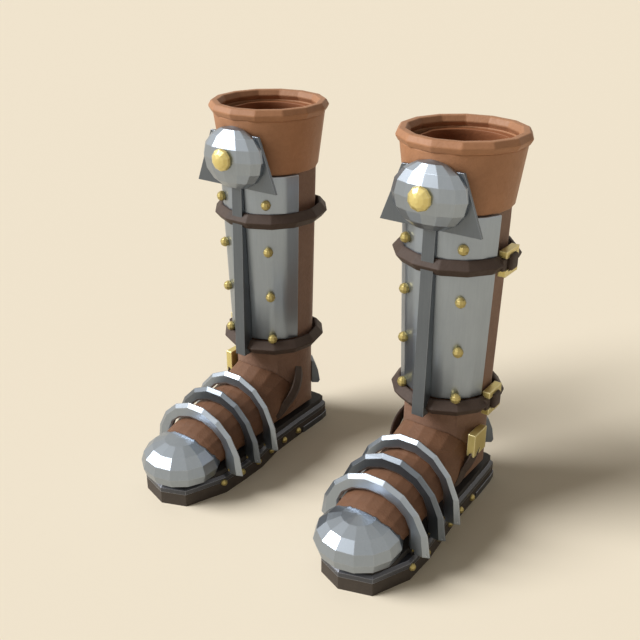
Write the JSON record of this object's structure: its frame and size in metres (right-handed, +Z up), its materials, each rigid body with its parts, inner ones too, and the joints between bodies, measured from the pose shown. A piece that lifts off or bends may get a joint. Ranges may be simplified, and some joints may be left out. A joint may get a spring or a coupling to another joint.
{
  "type": "armoured boots",
  "caption": "Pair of tall leather boots with iron soles, steel toe caps, lames over the foot, strapped greaves and domed knee cops with brass fittings.",
  "frame": {"origin": "centre of the bounding box of the pair in X and Y, on the floor under the soles", "axes": "+Z up along the legs, toes towards -Y, left boot at +X and right boot at -X"},
  "size_m": [0.4142, 0.3168, 0.4647],
  "materials": {
    "cuff_leather": "satin",
    "vamp_leather": "satin",
    "leg_leather": "satin",
    "strap_leather": "satin",
    "sole_leather": "matte",
    "polished_steel": "satin",
    "dark_steel": "satin",
    "sole_iron": "satin",
    "brass": "polished"
  },
  "bodies": {
    "left_foot": {"left_outsole": "sole_leather", "left_heel_iron": "dark_steel", "left_sole_plate": "sole_iron", "left_sole_rivets": "brass", "left_lame_pins": "brass", "left_midsole": "sole_leather", "left_vamp": "vamp_leather", "left_quarters": "leg_leather", "left_heel_cup": "polished_steel", "left_toe_cap": "polished_steel", "left_ankle_strap": "strap_leather", "left_ankle_buckle": "brass"},
    "left_lame_rear_hoop": {"left_lame_rear": "polished_steel"},
    "left_lame_middle_hoop": {"left_lame_middle": "dark_steel"},
    "left_lame_front_hoop": {"left_lame_front": "polished_steel"},
    "left_leg": {"left_shaft": "leg_leather", "left_greave": "polished_steel", "left_greave_rivets": "brass", "left_rib": "dark_steel", "left_upper_strap": "strap_leather", "left_lower_strap": "strap_leather", "left_cuff": "cuff_leather", "left_rim": "cuff_leather", "left_knee_plate": "dark_steel", "left_knee_dome": "polished_steel", "left_knee_stud": "brass"},
    "left_upper_buckle_flap": {"left_upper_buckle": "brass", "left_upper_tab": "strap_leather"},
    "left_lower_buckle_flap": {"left_lower_buckle": "brass", "left_lower_tab": "strap_leather"},
    "right_foot": {"right_outsole": "sole_leather", "right_heel_iron": "dark_steel", "right_sole_plate": "sole_iron", "right_sole_rivets": "brass", "right_lame_pins": "brass", "right_midsole": "sole_leather", "right_vamp": "vamp_leather", "right_quarters": "leg_leather", "right_heel_cup": "polished_steel", "right_toe_cap": "polished_steel", "right_ankle_strap": "strap_leather", "right_ankle_buckle": "brass"},
    "right_lame_rear_hoop": {"right_lame_rear": "polished_steel"},
    "right_lame_middle_hoop": {"right_lame_middle": "dark_steel"},
    "right_lame_front_hoop": {"right_lame_front": "polished_steel"},
    "right_leg": {"right_shaft": "leg_leather", "right_greave": "polished_steel", "right_greave_rivets": "brass", "right_rib": "dark_steel", "right_upper_strap": "strap_leather", "right_lower_strap": "strap_leather", "right_cuff": "cuff_leather", "right_rim": "cuff_leather", "right_knee_plate": "dark_steel", "right_knee_dome": "polished_steel", "right_knee_stud": "brass"},
    "right_upper_buckle_flap": {"right_upper_buckle": "brass", "right_upper_tab": "strap_leather"},
    "right_lower_buckle_flap": {"right_lower_buckle": "brass", "right_lower_tab": "strap_leather"}
  },
  "joints": [
    {"name": "left_ankle", "type": "hinge", "parent": "left_foot", "child": "left_leg", "pos_m": [0.134, 0.08335, 0.07], "axis": [1, 0, 0], "range_deg": [-8, 8], "stiffness_Nm_per_rad": 60},
    {"name": "left_lame_rear_pivot", "type": "hinge", "parent": "left_foot", "child": "left_lame_rear_hoop", "pos_m": [0.134, -0.00495, 0.0317], "axis": [1, 0, 0], "range_deg": [-3, 3]},
    {"name": "left_lame_middle_pivot", "type": "hinge", "parent": "left_foot", "child": "left_lame_middle_hoop", "pos_m": [0.134, -0.04095, 0.0317], "axis": [1, 0, 0], "range_deg": [-3, 3]},
    {"name": "left_lame_front_pivot", "type": "hinge", "parent": "left_foot", "child": "left_lame_front_hoop", "pos_m": [0.134, -0.07695, 0.0317], "axis": [1, 0, 0], "range_deg": [-3, 3]},
    {"name": "left_upper_buckle_bar", "type": "hinge", "parent": "left_leg", "child": "left_upper_buckle_flap", "pos_m": [0.1979, 0.0714, 0.3265], "axis": [0, 0, -1], "range_deg": [0, 36]},
    {"name": "left_lower_buckle_bar", "type": "hinge", "parent": "left_leg", "child": "left_lower_buckle_flap", "pos_m": [0.1929, 0.0714, 0.1515], "axis": [0, 0, -1], "range_deg": [0, 36]},
    {"name": "right_boot_lift", "type": "slide", "parent": "left_foot", "child": "right_foot", "axis": [0, 0, 1], "range_m": [0, 0.2]},
    {"name": "right_ankle", "type": "hinge", "parent": "right_foot", "child": "right_leg", "pos_m": [-0.134, 0.08335, 0.07], "axis": [1, 0, 0], "range_deg": [-8, 8], "stiffness_Nm_per_rad": 60},
    {"name": "right_lame_rear_pivot", "type": "hinge", "parent": "right_foot", "child": "right_lame_rear_hoop", "pos_m": [-0.134, -0.00495, 0.0317], "axis": [1, 0, 0], "range_deg": [-3, 3]},
    {"name": "right_lame_middle_pivot", "type": "hinge", "parent": "right_foot", "child": "right_lame_middle_hoop", "pos_m": [-0.134, -0.04095, 0.0317], "axis": [1, 0, 0], "range_deg": [-3, 3]},
    {"name": "right_lame_front_pivot", "type": "hinge", "parent": "right_foot", "child": "right_lame_front_hoop", "pos_m": [-0.134, -0.07695, 0.0317], "axis": [1, 0, 0], "range_deg": [-3, 3]},
    {"name": "right_upper_buckle_bar", "type": "hinge", "parent": "right_leg", "child": "right_upper_buckle_flap", "pos_m": [-0.1979, 0.0714, 0.3265], "axis": [0, 0, 1], "range_deg": [0, 36]},
    {"name": "right_lower_buckle_bar", "type": "hinge", "parent": "right_leg", "child": "right_lower_buckle_flap", "pos_m": [-0.1929, 0.0714, 0.1515], "axis": [0, 0, 1], "range_deg": [0, 36]}
  ]
}
